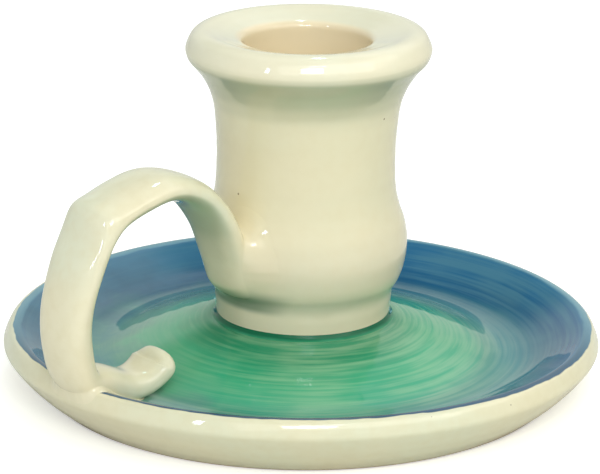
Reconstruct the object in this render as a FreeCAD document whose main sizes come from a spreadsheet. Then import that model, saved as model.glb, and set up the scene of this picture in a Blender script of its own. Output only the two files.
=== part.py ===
import FreeCAD, Part
import math
import os
from types import SimpleNamespace

import Sketcher

# A wheel-thrown chamberstick: a saucer with a raised middle, a candle socket stuck on it with
# slip, and a pulled strap handle that loops from the belly of the socket down over the rim.
# The origin is the middle of the foot's face, +Z is up the candle's axis, and the loop
# stands in the XZ plane on the -X side. All lengths are millimetres.

# Driving sizes
SIZES = {
    # Saucer, radii from the axis and heights from the table
    "saucer_radius": 57.0,
    "rim_height": 12.0,
    "rim_roll": 2.4,
    "foot_inset": 7.6,
    "foot_ring_width": 6.0,
    "foot_recess": 1.6,
    "foot_bevel": 0.8,
    "wall_swell": 1.0,
    "well_inset": 13.0,
    "well_height": 5.3,
    "well_sweep": 6.6,
    "mound_height": 13.3,
    "floor_thickness": 5.2,
    # Candle socket, thrown round its bore: wall, swell, insets from the belly and rises
    "bore_radius": 12.0,
    "bore_floor": 6.0,
    "bore_corner": 2.0,
    "neck_wall": 4.85,
    "neck_rise": 32.2,
    "belly_swell": 2.65,
    "belly_rise": 14.4,
    "socket_foot_inset": 3.1,
    "ring_inset": 2.6,
    "ring_rise": 4.7,
    "groove_inset": 2.3,
    "groove_rise": 6.2,
    "belly_start_inset": 1.4,
    "belly_start_rise": 7.7,
    "throat_inset": 2.25,
    "throat_rise": 39.0,
    "lip_flare": 3.7,
    "lip_roll": 3.5,
    "socket_rise": 55.8,
    "funnel_drop": 1.8,
    "mouth_round": 1.0,
    # Seam of slip pressed into the corner round the socket's foot
    "seam_leg": 1.3,
    # Strap handle: how its middle line lies on the belly, over the finger and in the saucer
    "strap_width": 12.8,
    "strap_thickness": 5.8,
    "toe_depth": 0.7,
    "root_bury": 2.6,
    "root_low_rise": 9.9,
    "root_stand": 3.2,
    "root_high_rise": 22.9,
    "arch_height": 46.0,
    "grip_overhang": 0.5,
    "grip_height": 24.5,
    "rim_ride": 0.8,
    "well_ride": 3.1,
    "tail_run": 5.2,
    "tail_rise": 8.9,
    # Soft clay worked into the corners beside the strap, on the belly and inside the rim
    "root_clay_leg": 2.4,
    "root_clay_thickness": 7.2,
    "root_clay_bury": 2.2,
    "rim_clay_leg": 2.2,
    "rim_clay_thickness": 3.4,
    # One overrun for every cutting solid
    "overrun": 2.0,
}

doc = FreeCAD.newDocument("chamberstick")
sheet = doc.addObject("Spreadsheet::Sheet", "sizes")
for row, (alias, length) in enumerate(SIZES.items(), start=1):
    sheet.set(f"A{row}", alias)
    sheet.set(f"B{row}", str(length))
    sheet.setAlias(f"B{row}", alias)
doc.recompute()

# Shares worked out from angles keep six decimals in their expressions
SHARE_DECIMALS = 6


class Size:
    """A length in millimetres that also knows the sheet expression it comes from."""

    def __init__(self, value, text):
        self.value = value
        self.text = text

    def __add__(self, other):
        return Size(self.value + other.value, f"({self.text} + {other.text})")

    def __sub__(self, other):
        return Size(self.value - other.value, f"({self.text} - {other.text})")

    def __mul__(self, share):
        share = round(share, SHARE_DECIMALS)
        return Size(self.value * share, f"({self.text} * {share})")


mm = SimpleNamespace(**{alias: Size(sheet.get(alias), f"sizes.{alias}") for alias in SIZES})
ZERO = Size(0.0, "0")


def between(low, high, share):
    return low + (high - low) * share


def partway(start, end, out_share, up_share):
    return (between(start[0], end[0], out_share), between(start[1], end[1], up_share))


def off(centre, radius, angle):
    """The point of a circle at an angle above level."""
    return (centre[0] + radius * math.cos(angle), centre[1] + radius * math.sin(angle))


def rounded(before, corner, after, reach):
    """Start, middle and end of the arc that touches both sides of a corner at its reach."""
    angles = [
        math.atan2(end[1].value - corner[1].value, end[0].value - corner[0].value)
        for end in (before, after)
    ]
    half_bend = (math.pi - abs(angles[1] - angles[0])) / 2
    middle = off(corner, reach * math.tan(half_bend / 2), sum(angles) / 2)
    return off(corner, reach, angles[0]), middle, off(corner, reach, angles[1])


# Sketched outlines

def plane_of(body, role):
    return next(item for item in body.Origin.OriginFeatures if item.Role == role)


def hold(sketch, geometry, corner, point):
    """Ties one point of a sketch to its radius and height, or to the axis where it is zero."""
    for direction, axis, size in (("DistanceX", -2, point[0]), ("DistanceY", -1, point[1])):
        if size is ZERO:
            sketch.addConstraint(Sketcher.Constraint("PointOnObject", geometry, corner, axis))
        else:
            constraint = Sketcher.Constraint(direction, -1, 1, geometry, corner, size.value)
            number = sketch.addConstraint(constraint)
            sketch.setExpression(f"Constraints[{number}]", size.text)


def outline(body, name, start, steps):
    """Draws a closed outline in the XZ plane. A step is ("line", end) or ("arc", middle, end)."""
    sketch = body.newObject("Sketcher::SketchObject", name)
    sketch.AttachmentSupport = (plane_of(body, "XZ_Plane"), [""])
    sketch.MapMode = "FlatFace"
    here = start
    runs = []
    for kind, *points in steps:
        ends = [FreeCAD.Vector(r.value, z.value, 0) for r, z in (here, *points)]
        if kind == "line":
            run = sketch.addGeometry(Part.LineSegment(*ends))
        else:
            run = sketch.addGeometry(Part.Arc(*ends))
        runs.append((run, kind, ends, points))
        here = points[-1]
    for index, (run, kind, ends, points) in enumerate(runs):
        following = runs[(index + 1) % len(runs)]
        last = end_corner(sketch, run, ends[-1])
        first = end_corner(sketch, following[0], following[2][0])
        sketch.addConstraint(Sketcher.Constraint("Coincident", run, last, following[0], first))
        hold(sketch, run, last, points[-1])
        if kind == "arc":
            middle = sketch.addGeometry(Part.Point(ends[1]), True)
            hold(sketch, middle, 1, points[0])
            sketch.addConstraint(Sketcher.Constraint("PointOnObject", middle, 1, run))
    return sketch


def end_corner(sketch, geometry, place):
    """Says which end of a line or arc, 1 or 2, lies at the place."""
    gaps = [sketch.getPoint(geometry, corner).distanceToPoint(place) for corner in (1, 2)]
    return 1 if gaps[0] < gaps[1] else 2


def turned(body, sketch, name, kind="PartDesign::Revolution"):
    feature = body.newObject(kind, name)
    feature.Profile = sketch
    feature.ReferenceAxis = (sketch, ["V_Axis"])
    feature.Angle = 360.0
    doc.recompute()
    return feature


# Places that the pieces share

def up_socket(rise):
    return mm.mound_height + rise


neck = (mm.bore_radius + mm.neck_wall, up_socket(mm.neck_rise))
belly = (neck[0] + mm.belly_swell, up_socket(mm.belly_rise))
socket_foot = (belly[0] - mm.socket_foot_inset, mm.mound_height)
mound_edge = (socket_foot[0] + mm.seam_leg, mm.mound_height)
quarter = math.pi / 2


# Saucer
# The rim is a full round roll. Inside it the wall runs straight down to the well, which
# sweeps up again into the raised middle that carries the socket. The underside is turned
# out to the same thickness and leaves a foot ring to stand on.

rim_centre = (mm.saucer_radius - mm.rim_roll, mm.rim_height - mm.rim_roll)
well = (rim_centre[0] - mm.well_inset, mm.well_height)

# The wall is the line from the well's corner that touches the top of the roll
wall_rise = rim_centre[1].value - well[1].value
wall_reach = math.hypot(mm.well_inset.value, wall_rise)
wall_slope = math.atan2(wall_rise, mm.well_inset.value) + math.asin(mm.rim_roll.value / wall_reach)
wall_top = off(rim_centre, mm.rim_roll, quarter + wall_slope)


def saucer():
    body = doc.addObject("PartDesign::Body", "saucer")
    foot_radius = mm.saucer_radius - mm.foot_inset
    foot_inside = foot_radius - mm.foot_ring_width
    underside = mm.mound_height - mm.floor_thickness
    middle_share = 0.5
    wall_middle = (
        between(foot_radius, mm.saucer_radius, middle_share) + mm.wall_swell,
        between(mm.foot_bevel, rim_centre[1], middle_share),
    )
    well_out, well_low, well_in = rounded(wall_top, well, mound_edge, mm.well_sweep)
    sketch = outline(body, "saucer_outline", (ZERO, underside), [
        ("line", (mound_edge[0], underside)),
        ("line", (foot_inside, mm.foot_recess)),
        ("line", (foot_inside, ZERO)),
        ("line", (foot_radius - mm.foot_bevel, ZERO)),
        ("line", (foot_radius, mm.foot_bevel)),
        ("arc", wall_middle, (mm.saucer_radius, rim_centre[1])),
        ("arc", off(rim_centre, mm.rim_roll, quarter * middle_share), (rim_centre[0], mm.rim_height)),
        ("arc", off(rim_centre, mm.rim_roll, quarter + wall_slope * middle_share), wall_top),
        ("line", well_out),
        ("arc", well_low, well_in),
        ("line", mound_edge),
        ("line", (ZERO, mm.mound_height)),
        ("line", (ZERO, underside)),
    ])
    turned(body, sketch, "saucer_thrown")
    return body


# Candle socket
# A thrown collar: a short upright foot, a soft groove, a round belly, a straight neck and a
# flared lip whose top dips towards the candle. The bore is blind and has a rounded floor.

ring = (belly[0] - mm.ring_inset, up_socket(mm.ring_rise))
groove = (belly[0] - mm.groove_inset, up_socket(mm.groove_rise))
belly_start = (belly[0] - mm.belly_start_inset, up_socket(mm.belly_start_rise))
throat = (belly[0] - mm.throat_inset, up_socket(mm.throat_rise))
lip_radius = belly[0] + mm.lip_flare
crest_height = up_socket(mm.socket_rise)
lip_centre = (lip_radius - mm.lip_roll, crest_height - mm.lip_roll)


def candle_socket():
    body = doc.addObject("PartDesign::Body", "candle_socket")
    # Shares outward and upward of the way from belly to neck, and of the flare's middle
    shoulder_shares = (0.5, 0.37)
    hollow_shares = (0.83, 0.55)
    neck_foot_shares = (0.965, 0.76)
    flare_shares = (0.27, 0.53)
    # The lip's roll starts where the flare runs into it, a third of a right angle down
    lip_low = off(lip_centre, mm.lip_roll, math.radians(-33))
    mouth = (mm.bore_radius, crest_height - mm.funnel_drop)
    # The funnel leaves the roll where the roll has the funnel's own slope
    funnel_slope = math.atan2(mm.funnel_drop.value, lip_centre[0].value - mm.bore_radius.value)
    sketch = outline(body, "socket_outline", (ZERO, mm.mound_height), [
        ("line", socket_foot),
        ("line", ring),
        ("arc", groove, belly_start),
        ("arc", belly, partway(belly, neck, *shoulder_shares)),
        ("arc", partway(belly, neck, *hollow_shares), partway(belly, neck, *neck_foot_shares)),
        ("arc", neck, throat),
        ("arc", partway(throat, lip_low, *flare_shares), lip_low),
        ("arc", (lip_radius, lip_centre[1]), off(lip_centre, mm.lip_roll, quarter + funnel_slope)),
        ("line", mouth),
        ("line", (ZERO, mouth[1])),
        ("line", (ZERO, mm.mound_height)),
    ])
    turned(body, sketch, "socket_thrown")
    floor = up_socket(mm.bore_floor)
    corner = (mm.bore_radius, floor)
    bore_top = crest_height + mm.overrun
    in_floor, corner_middle, on_wall = rounded(
        (ZERO, floor), corner, (mm.bore_radius, bore_top), mm.bore_corner
    )
    bore_sketch = outline(body, "bore_outline", (ZERO, floor), [
        ("line", (in_floor[0], floor)),
        ("arc", corner_middle, (mm.bore_radius, on_wall[1])),
        ("line", (mm.bore_radius, bore_top)),
        ("line", (ZERO, bore_top)),
        ("line", (ZERO, floor)),
    ])
    bore = turned(body, bore_sketch, "bore", "PartDesign::Groove")
    same_height = Part.Precision.approximation()
    mouth_rings = [
        f"Edge{number}" for number, edge in enumerate(bore.Shape.Edges, start=1)
        if all(abs(point.Z - mouth[1].value) < same_height for point in edge.Vertexes)
    ]
    fillet = body.newObject("PartDesign::Fillet", "mouth_rounding")
    fillet.Base = (bore, mouth_rings)
    fillet.setExpression("Radius", mm.mouth_round.text)
    doc.recompute()
    return body


# Seam
# Slip pressed into the corner round the socket's foot, with a hollow face

def socket_seam():
    body = doc.addObject("PartDesign::Body", "socket_seam")
    up_share = mm.seam_leg.value / mm.ring_rise.value
    top = partway(socket_foot, ring, up_share, up_share)
    hollow_shares = (0.3, 0.3)
    sketch = outline(body, "seam_outline", socket_foot, [
        ("line", mound_edge),
        ("arc", partway(socket_foot, (mound_edge[0], top[1]), *hollow_shares), top),
        ("line", socket_foot),
    ])
    turned(body, sketch, "seam_pressed")
    return body


# Strap handle
# One pulled strap: it grows out of the belly, arches over, bends sharply under the thumb,
# drops to the rim and lies down the inside of the saucer, where its tail curls up. Oval
# sections stand square to its middle line.

def stretch(start, end, share_rows):
    """Stations from start to end. A row has shares outward, upward, of width and of thickness."""
    return [
        (partway(start, end, out_share, up_share), (width_share, thickness_share))
        for out_share, up_share, width_share, thickness_share in share_rows
    ]


def raised(point, ride):
    return (point[0], point[1] + ride)


def strap_stations():
    toe = (groove[0] - mm.toe_depth, groove[1] + mm.toe_depth)
    root_low = (belly[0] - mm.root_bury, up_socket(mm.root_low_rise))
    root_high = (belly[0] + mm.root_stand, up_socket(mm.root_high_rise))
    grip = (mm.saucer_radius + mm.grip_overhang, mm.grip_height)
    on_rim = raised((rim_centre[0], mm.rim_height), mm.rim_ride)
    on_wall = raised(wall_top, mm.rim_ride)
    over_well = raised(well, mm.well_ride)
    tail_end = (well[0] - mm.tail_run, well[1] + mm.tail_rise)
    toe_shares = (
        (1.0, 1.0, 0.80, 0.62),
    )
    root_shares = (
        (0.0, 0.0, 0.95, 1.20),
        (0.53, 0.50, 0.96, 1.0),
        (1.0, 1.0, 0.98, 0.97),
    )
    arch_shares = (
        (0.164, 0.856, 1.04, 0.92),
        (0.382, 0.995, 1.10, 0.88),
        (0.560, 0.955, 1.09, 0.90),
        (0.762, 0.822, 1.07, 0.96),
        (0.836, 0.688, 1.07, 1.08),
        (0.926, 0.391, 1.03, 0.93),
        (0.991, 0.0, 0.96, 1.06),
    )
    drop_shares = (
        (0.18, 0.44, 0.92, 1.14),
        (1.0, 1.0, 0.88, 1.10),
    )
    wall_shares = (
        (0.304, 0.304, 0.86, 1.05),
        (0.823, 0.823, 0.86, 1.0),
    )
    tail_shares = (
        (0.44, 0.524, 0.86, 0.88),
        (1.0, 0.83, 0.84, 0.80),
        (0.86, 1.0, 0.50, 0.50),
    )
    return [
        *stretch(groove, toe, toe_shares),
        *stretch(root_low, root_high, root_shares),
        *stretch((root_high[0], grip[1]), (grip[0], mm.arch_height), arch_shares),
        *stretch(grip, on_rim, drop_shares),
        *stretch(on_wall, over_well, wall_shares),
        *stretch(well, tail_end, tail_shares),
    ]


def oval(body, name, place, width, thickness):
    """An oval section whose width runs across the loop's plane."""
    sketch = body.newObject("Sketcher::SketchObject", name)
    sketch.Placement = place
    origin = FreeCAD.Vector()
    wide_end = FreeCAD.Vector(width.value / 2, 0, 0)
    thick_end = FreeCAD.Vector(0, thickness.value / 2, 0)
    ellipse = sketch.addGeometry(Part.Ellipse(wide_end, thick_end, origin))
    sketch.exposeInternalGeometry(ellipse)
    wide_axis = ellipse + 1
    thick_axis = ellipse + 2
    sketch.addConstraint(Sketcher.Constraint("Coincident", ellipse, 3, -1, 1))
    sketch.addConstraint(Sketcher.Constraint("Horizontal", wide_axis))
    for axis, size in ((wide_axis, width), (thick_axis, thickness)):
        number = sketch.addConstraint(Sketcher.Constraint("Distance", axis, size.value))
        sketch.setExpression(f"Constraints[{number}]", size.text)
    return sketch


def pulled(name, stations, width, thickness):
    """Lofts ovals that stand square to the line through the stations."""
    body = doc.addObject("PartDesign::Body", name)
    points = [FreeCAD.Vector(-out.value, 0, up.value) for (out, up), _ in stations]
    line = Part.BSplineCurve()
    line.interpolate(points)
    across = FreeCAD.Vector(0, 1, 0)
    sections = []
    for number, (point, (_, shares)) in enumerate(zip(points, stations), start=1):
        along = line.tangent(line.parameter(point))[0]
        turn = FreeCAD.Rotation(across, along.cross(across), along, "ZXY")
        place = FreeCAD.Placement(point, turn)
        size = (width * shares[0], thickness * shares[1])
        sections.append(oval(body, f"{name}_section_{number}", place, *size))
    doc.recompute()
    loft = body.newObject("PartDesign::AdditiveLoft", f"{name}_pulled")
    loft.Profile = sections[0]
    loft.Sections = sections[1:]
    doc.recompute()
    return body


# Clay beside the strap
# A flat roll of soft clay, wider than the strap, lies along each joint. The strap, the belly
# and the saucer take their own room out of it, which leaves the two wedges at its sides.

def root_clay_stations():
    low = (belly[0], up_socket(mm.root_low_rise))
    high = (belly[0] - mm.root_clay_bury, up_socket(mm.root_high_rise))
    root_clay_shares = (
        (1.5, -0.10, 0.72, 1.0),
        (1.0, 0.35, 1.0, 1.0),
        (0.8, 0.70, 1.0, 1.0),
        (0.5, 0.98, 0.78, 1.0),
    )
    return stretch(low, high, root_clay_shares)


def rim_clay_stations():
    rim_clay_shares = (
        (0.06, 0.06, 0.80, 1.0),
        (0.35, 0.35, 0.95, 1.0),
        (0.70, 0.70, 0.80, 1.0),
    )
    return stretch(wall_top, well, rim_clay_shares)


def fused(name, shapes):
    fuse = doc.addObject("Part::MultiFuse", name)
    fuse.Shapes = shapes
    return fuse


def fitted(name, blank, carriers):
    """Takes the room of the pieces that carry it out of a blank."""
    cut = doc.addObject("Part::Cut", name)
    cut.Base = blank
    cut.Tool = carriers
    return cut


# The bore is filled for the cuts, so that nothing reaches through the wall into it
def bore_plug():
    plug = doc.addObject("Part::Cylinder", "bore_plug")
    straight_rise = mm.socket_rise - mm.bore_floor - mm.funnel_drop - mm.mouth_round
    plug.setExpression("Radius", (mm.bore_radius + mm.mouth_round).text)
    plug.setExpression("Height", straight_rise.text)
    plug.setExpression("Placement.Base.z", up_socket(mm.bore_floor).text)
    return plug


saucer_body = saucer()
socket_body = candle_socket()
seam_body = socket_seam()
strap = pulled("strap_blank", strap_stations(), mm.strap_width, mm.strap_thickness)
root_width = mm.strap_width + mm.root_clay_leg + mm.root_clay_leg
root_blank = pulled("root_clay_blank", root_clay_stations(), root_width, mm.root_clay_thickness)
rim_width = mm.strap_width + mm.rim_clay_leg + mm.rim_clay_leg
rim_blank = pulled("rim_clay_blank", rim_clay_stations(), rim_width, mm.rim_clay_thickness)
plug = bore_plug()
carriers = fused("carriers", [saucer_body, socket_body, plug])
carriers_and_strap = fused("carriers_and_strap", [saucer_body, socket_body, plug, strap])
handle = fitted("handle", strap, carriers)
root_clay = fitted("handle_root_clay", root_blank, carriers_and_strap)
rim_clay = fitted("handle_rim_clay", rim_blank, carriers_and_strap)
doc.recompute()

# Every object has to be sound before any shape is written
for item in doc.Objects:
    if "Invalid" in item.State or "Error" in item.State:
        raise RuntimeError(f"{item.Label} failed: {item.State}")
nodes = [saucer_body, socket_body, seam_body, handle, root_clay, rim_clay]
for node in nodes:
    if node.Shape.isNull() or not node.Shape.isValid() or not node.Shape.Solids:
        raise RuntimeError(f"{node.Label} is not a sound solid")

os.makedirs("parts", exist_ok=True)
for node in nodes:
    box = node.Shape.optimalBoundingBox()
    size = " x ".join(f"{length:.1f}" for length in (box.XLength, box.YLength, box.ZLength))
    print(f"{node.Label}: {len(node.Shape.Solids)} solid, {node.Shape.Volume:.0f} mm3, {size} mm")
    node.Shape.exportStep(f"parts/{node.Label}.step")
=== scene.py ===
# %% [markdown]
# # A pottery chamberstick
# This is a thrown and glazed candle holder that is carried by one finger. The scene is built
# round the imported solids, which are only loaded and measured here.

# %% Load the frame
import bpy
import bmesh
import math
from mathutils import Matrix, Vector
from mathutils.bvhtree import BVHTree


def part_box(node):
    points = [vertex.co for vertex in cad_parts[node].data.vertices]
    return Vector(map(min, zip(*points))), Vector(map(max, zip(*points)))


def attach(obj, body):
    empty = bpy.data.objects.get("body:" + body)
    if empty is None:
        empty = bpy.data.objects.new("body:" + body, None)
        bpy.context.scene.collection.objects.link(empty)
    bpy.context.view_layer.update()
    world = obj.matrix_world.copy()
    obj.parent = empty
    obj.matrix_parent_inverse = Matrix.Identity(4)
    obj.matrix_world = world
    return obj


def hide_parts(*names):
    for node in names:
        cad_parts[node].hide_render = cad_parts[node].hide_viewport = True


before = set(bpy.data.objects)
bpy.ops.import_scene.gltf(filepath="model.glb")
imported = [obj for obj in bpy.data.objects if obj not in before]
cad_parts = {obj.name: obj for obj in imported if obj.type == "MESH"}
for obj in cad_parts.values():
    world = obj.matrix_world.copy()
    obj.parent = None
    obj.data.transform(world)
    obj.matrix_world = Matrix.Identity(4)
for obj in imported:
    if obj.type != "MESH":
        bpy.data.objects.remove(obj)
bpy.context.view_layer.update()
MM = 0.001
print("solids:", sorted(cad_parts))

# %% [markdown]
# ## One side of the pot
# The loop stands in the plane of X. The potter's brush, the kiln and the hand that set the socket
# down left the pot a little different from one side to the other, and those sides lie 42 degrees
# round from X. So one level direction is named here, and everything uneven is placed by it.

# %% The pot's right side
right_turn = math.radians(-42.0)
right = Vector((math.cos(right_turn), math.sin(right_turn), 0.0))
print("the right side lies towards", [round(number, 3) for number in right])

# %% [markdown]
# ## One way to add a node
# Finishes and shapes are both made with node trees. One short function adds any node: its
# settings, its inputs as numbers or as links, and the output that is wanted back. Arithmetic is
# by far the commonest node, so a plain word such as "ADD" stands for it. Two groups of settings
# come back again and again, so they have names: a range with soft ends, and a mix of two
# colours, which are that node's inputs 6 and 7.

# %% Add a node
def add(tree, kind, inputs=(), out=0, **settings):
    """Gives back the output asked for. Inputs go in the node's order, or by name or number."""
    if kind.isupper():
        kind, settings = "ShaderNodeMath", {"operation": kind, **settings}
    node = tree.nodes.new(kind)
    for name, value in settings.items():
        setattr(node, name, value)
    for key, value in inputs.items() if isinstance(inputs, dict) else enumerate(inputs):
        if isinstance(value, bpy.types.NodeSocket):
            tree.links.new(value, node.inputs[key])
        else:
            node.inputs[key].default_value = value
    return node.outputs[out]


softly = {"interpolation_type": "SMOOTHSTEP"}
in_colour = {"out": 2, "data_type": "RGBA"}

# %% [markdown]
# ## Colours
# Colours are written as sRGB hex values, as they look on the pot. Shaders work with linear
# light, so one function turns them. A second one lays a row of colours on a colour ramp, which
# always starts with two stops of its own.

# %% Hex colours to linear
def linear(hex_value):
    parts = [int(hex_value[i:i + 2], 16) / 255 for i in (1, 3, 5)]
    return [p / 12.92 if p <= 0.04045 else ((p + 0.055) / 1.055) ** 2.4 for p in parts] + [1.0]


def lay_tones(ramp, tones):
    first, *between, last = tones
    for stop, (at, tone) in zip(ramp.elements, (first, last)):
        stop.position, stop.color = at, linear(tone)
    for at, tone in between:
        ramp.elements.new(at).color = linear(tone)


print("a cream in linear light:", [round(part, 3) for part in linear("#E3E4C9")])

# %% [markdown]
# ## What all the glazes share
# The pot is earthenware, dipped in a clear gloss glaze and fired. A glaze is glass, so the eye
# gets small sharp mirror images of the windows, stronger at a shallow angle, over a colour that
# lies just under them. A Principled shader with the index of glass and a low roughness gives
# both. No glaze is quite flat, so a ripple a hundredth of a millimetre deep bends the images.

# %% Clear gloss over a colour
ripple_width, ripple_depth = 5.0 * MM, 0.012 * MM
gloss_roughness, glass_index = 0.045, 1.5


def glaze_material(name):
    """An empty material, its tree and the object's own coordinates in metres."""
    material = bpy.data.materials.new(name)
    material.use_nodes = True
    material.node_tree.nodes.clear()
    place = add(material.node_tree, "ShaderNodeTexCoord", out="Object")
    return material, material.node_tree, place


def gloss(tree, place, colour, roughness=gloss_roughness, index=glass_index):
    """Lays the clear glaze over a colour and ends the material."""
    waves = add(tree, "ShaderNodeTexNoise", {"Vector": place, "Scale": 1 / ripple_width, "Detail": 1.5})
    bump = add(tree, "ShaderNodeBump", {"Strength": 1.0, "Distance": ripple_depth, "Height": waves})
    shader = add(tree, "ShaderNodeBsdfPrincipled", {
        "Base Color": colour, "Roughness": roughness, "IOR": index, "Normal": bump,
    })
    tree.links.new(shader, tree.nodes.new("ShaderNodeOutputMaterial").inputs[0])


print(f"ripple: {ripple_width / MM:.0f} mm wide and {ripple_depth / MM:.3f} mm deep")

# %% [markdown]
# ## Iron specks
# Here and there a grain of iron in the clay has burnt a brown speck up through the glaze. A cell
# pattern scatters such grains evenly, and a random number for each cell leaves most of them out
# and gives the rest a size of up to half a millimetre or so.

# %% Iron specks
speck_spacing, speck_share, speck_strength = 4.2 * MM, 0.07, 0.75


def specked(tree, place, colour):
    grain_distance, grain_number = add(
        tree, "ShaderNodeTexVoronoi", {"Vector": place, "Scale": 1 / speck_spacing}, slice(0, 2)
    )
    chance, grain_size, _ = add(tree, "ShaderNodeSeparateColor", (grain_number,), slice(0, 3))
    rare = add(tree, "GREATER_THAN", (chance, 1 - speck_share))
    # Distances here are shares of the spacing
    reach = add(tree, "MULTIPLY_ADD", (grain_size, 0.055, 0.02))
    within = add(tree, "SUBTRACT", (reach, grain_distance))
    spot = add(tree, "ShaderNodeMapRange", (within, 0.0, 0.03), **softly)
    burnt = add(tree, "MULTIPLY", (add(tree, "MULTIPLY", (spot, rare)), speck_strength))
    return add(tree, "ShaderNodeMix", {"Factor": burnt, 6: colour, 7: linear("#6E5638")}, **in_colour)


print(f"specks: {speck_share:.0%} of cells {speck_spacing / MM:.1f} mm wide")

# %% [markdown]
# ## Cream
# Clear glaze over buff clay gives cream. It is a little greener where the glaze lies thick and
# warmer where it ran thin, so broad soft blots move the colour between the two, and a fine
# mottle shows the clay's own grain. To the eye that is the warm, slightly cloudy depth of
# dipped pottery.

# %% Cream tones
blot_width, mottle_width = 22.0 * MM, 2.2 * MM


def cream(tree, place):
    blots = add(tree, "ShaderNodeTexNoise", {"Vector": place, "Scale": 1 / blot_width, "Detail": 1.0})
    drift = add(tree, "ShaderNodeMapRange", (blots, 0.35, 0.65), **softly)
    tone = add(tree, "ShaderNodeMix", {
        "Factor": drift, 6: linear("#E3E4C9"), 7: linear("#E9E2C3"),
    }, **in_colour)
    grain = add(tree, "ShaderNodeTexNoise", {"Vector": place, "Scale": 1 / mottle_width, "Detail": 3.0})
    mottle = add(tree, "ShaderNodeMapRange", (grain, 0.35, 0.75), **softly)
    buff = add(tree, "MULTIPLY", (mottle, 0.25))
    return add(tree, "ShaderNodeMix", {"Factor": buff, 6: tone, 7: linear("#DDD3AC")}, **in_colour)


print(f"cream: blots of {blot_width / MM:.0f} mm and a mottle of {mottle_width / MM:.1f} mm")

# %% [markdown]
# ## Painted shade under the strap and the lip
# The groove under the strap's end lies in the shade of the strap, so a darker grey-green is painted
# there. The undersides of the arch and of the lip face away from the light, so they are painted
# darker than the tops. The first is a place on the pot, so heights and distances fade it in and out.
# The second depends on which way the skin faces, which the object's own normal tells.

# %% Painted shade
groove_low, groove_high, arch_low = 17.4 * MM, 23.5 * MM, 27.0 * MM


def painted_groove_shade(tree, place, colour):
    """Painted shade: a darker grey-green in the groove under the strap's end."""
    side, _, up = add(tree, "ShaderNodeSeparateXYZ", (place,), slice(0, 3))
    over_foot = add(tree, "ShaderNodeMapRange", (up, groove_low, groove_low + 1.5 * MM), **softly)
    below_root = add(tree, "ShaderNodeMapRange", (up, groove_high, groove_high - 3.3 * MM), **softly)
    off_front = add(tree, "ShaderNodeMapRange", (side, -12.8 * MM, -17.0 * MM), **softly)
    off_arch = add(tree, "ShaderNodeMapRange", (side, -28.0 * MM, -24.0 * MM), **softly)
    in_groove = add(tree, "MULTIPLY", (over_foot, below_root))
    under_strap = add(tree, "MULTIPLY", (off_front, off_arch))
    # The share of painted shade in the groove
    thick = add(tree, "MULTIPLY", (add(tree, "MULTIPLY", (under_strap, in_groove)), 0.7))
    return add(tree, "ShaderNodeMix", {"Factor": thick, 6: colour, 7: linear("#5F7B66")}, **in_colour)


def painted_underside_shade(tree, place, colour):
    """Painted shade: the undersides of the arch and the lip are darker."""
    up = add(tree, "ShaderNodeSeparateXYZ", (place,), 2)
    normal = add(tree, "ShaderNodeTexCoord", out="Normal")
    faces_up = add(tree, "ShaderNodeSeparateXYZ", (normal,), 2)
    underside = add(tree, "ShaderNodeMapRange", (faces_up, -0.1, -0.6), **softly)
    high = add(tree, "ShaderNodeMapRange", (up, arch_low, arch_low + 5.0 * MM), **softly)
    # The share of painted shade on the undersides
    thick = add(tree, "MULTIPLY", (add(tree, "MULTIPLY", (underside, high)), 0.55))
    return add(tree, "ShaderNodeMix", {"Factor": thick, 6: colour, 7: linear("#8F9C7C")}, **in_colour)


# The groove's painted shade lies between the first two heights, and the undersides' above the last
print(f"thick glaze from {groove_low / MM:.1f} to {groove_high / MM:.1f} mm up")
print(f"hanging glaze above {arch_low / MM:.0f} mm")

# %% [markdown]
# ## Cream glaze on socket and handle
# The socket's cream carries painted light and shade by height: it is lighter on the foot and the
# lip and a little darker down the neck, and a painted shade darkens the groove where the wall turns
# in. In the bore the cream is painted paler and warmer, a painted light against the bore's shade.
# Out along the strap the cream is left plain. One material covers the socket, the strap and the clay
# between them, so that no line shows where they join.

# %% Tones by height
cream_glaze, tree, place = glaze_material("cream_gloss_glaze_over_buff_earthenware")
side, back, up = add(tree, "ShaderNodeSeparateXYZ", (place,), slice(0, 3))
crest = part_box("candle_socket")[1].z
wave = add(tree, "ShaderNodeTexNoise", {"Vector": place, "Scale": 1 / (9.0 * MM)})
wavy_height = add(tree, "MULTIPLY_ADD", (wave, 2.0 * MM, add(tree, "SUBTRACT", (up, 1.0 * MM))))
painted_light_by_height = add(tree, "ShaderNodeValToRGB", (add(tree, "DIVIDE", (wavy_height, crest)),))
painted_light_by_height.node.color_ramp.interpolation = "B_SPLINE"
# Shares of the pot's height for the painted light and shade: the foot, the groove, the belly, the neck and
# the lip
lay_tones(painted_light_by_height.node.color_ramp, (
    (0.195, "#F6E2C0"), (0.25, "#F4E1C0"), (0.272, "#D6C8AA"), (0.292, "#D8CAAC"),
    (0.315, "#F2DEBC"), (0.42, "#EEDFBE"), (0.52, "#E6DDB8"), (0.60, "#E8DEBA"),
    (0.78, "#E6DCB6"), (0.90, "#E6DFBE"), (0.96, "#EDE9D0"),
))
socket_tone = add(tree, "ShaderNodeMix", {"Factor": 0.6, 6: cream(tree, place), 7: painted_light_by_height}, **in_colour)
print(f"cream shaded over {crest / MM:.1f} mm of height")

# %% [markdown]
# ## From the bore out to the strap
# How far a place is from the candle's axis says whether it is in the bore, on the socket or out
# on the strap. The saucer's brushwork needs the same distance, so it has a small function.

# %% Bore, socket and strap
def out_from_axis(tree, side, back):
    back_squared = add(tree, "MULTIPLY", (back, back))
    return add(tree, "SQRT", (add(tree, "MULTIPLY_ADD", (side, side, back_squared)),))


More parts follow.
